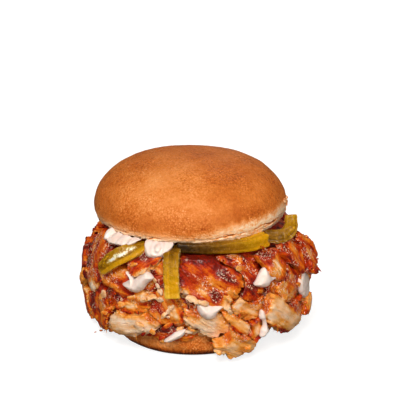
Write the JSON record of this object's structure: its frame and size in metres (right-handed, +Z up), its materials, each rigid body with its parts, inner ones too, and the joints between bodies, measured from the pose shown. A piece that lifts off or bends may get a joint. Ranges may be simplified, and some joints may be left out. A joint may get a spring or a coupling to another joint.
{
  "type": "shawarma sandwich",
  "caption": "Round bun cut in two and piled with shaved grilled chicken, gherkin slices and white sauce, as a free-standing sandwich.",
  "frame": {"origin": "on the bottom bun's flat base, straight below the middle of the top bun", "axes": "+Z up through the middle of the top bun; -Y is the side the picture shows, +X to its right"},
  "size_m": [0.1282, 0.1259, 0.098],
  "materials": {
    "crust_top": "baked brown crust, satin, finely dimpled, paler at the rim",
    "crust_bottom": "browned crust with a pale cut crumb",
    "chicken": "glossy grilled meat, from charred dark red to orange and pale tan on the cut edges",
    "gherkin": "wet olive-yellow pickle with darker skin",
    "sauce": "thick creamy white sauce, semi-gloss"
  },
  "bodies": {
    "root": {"bun_bottom": "crust_bottom", "bun_top": "crust_top", "chicken_behind_gherkin": "chicken", "chicken_big_middle": "chicken", "chicken_char_line": "chicken", "chicken_far_1": "chicken", "chicken_far_10": "chicken", "chicken_far_11": "chicken", "chicken_far_12": "chicken", "chicken_far_13": "chicken", "chicken_far_2": "chicken", "chicken_far_3": "chicken", "chicken_far_4": "chicken", "chicken_far_5": "chicken", "chicken_far_6": "chicken", "chicken_far_7": "chicken", "chicken_far_8": "chicken", "chicken_far_9": "chicken", "chicken_left_centre": "chicken", "chicken_left_crumbly": "chicken", "chicken_left_folded": "chicken", "chicken_left_glossy": "chicken", "chicken_left_nub": "chicken", "chicken_left_spiked": "chicken", "chicken_low_bits": "chicken", "chicken_low_golden": "chicken", "chicken_lower_ridge": "chicken", "chicken_middle": "chicken", "chicken_mottled": "chicken", "chicken_pale_chunk": "chicken", "chicken_pale_ragged": "chicken", "chicken_pale_strip": "chicken", "chicken_recess": "chicken", "chicken_right_glossy": "chicken", "chicken_right_nub": "chicken", "chicken_right_outer": "chicken", "chicken_right_pale": "chicken", "chicken_right_recess": "chicken", "chicken_right_ridge_1": "chicken", "chicken_right_ridge_2": "chicken", "chicken_right_strip": "chicken", "chicken_tan_chunk": "chicken", "chicken_under_sauce": "chicken", "chicken_upper_chip": "chicken", "gherkin_curled": "gherkin", "gherkin_far": "gherkin", "gherkin_hanging": "gherkin", "gherkin_left": "gherkin", "gherkin_rim": "gherkin", "sauce_far_1": "sauce", "sauce_far_2": "sauce", "sauce_left": "sauce", "sauce_left_rim": "sauce", "sauce_low_left": "sauce", "sauce_low_right": "sauce", "sauce_middle": "sauce", "sauce_pointed": "sauce", "sauce_right_smear": "sauce", "sauce_round": "sauce"}
  },
  "joints": []
}
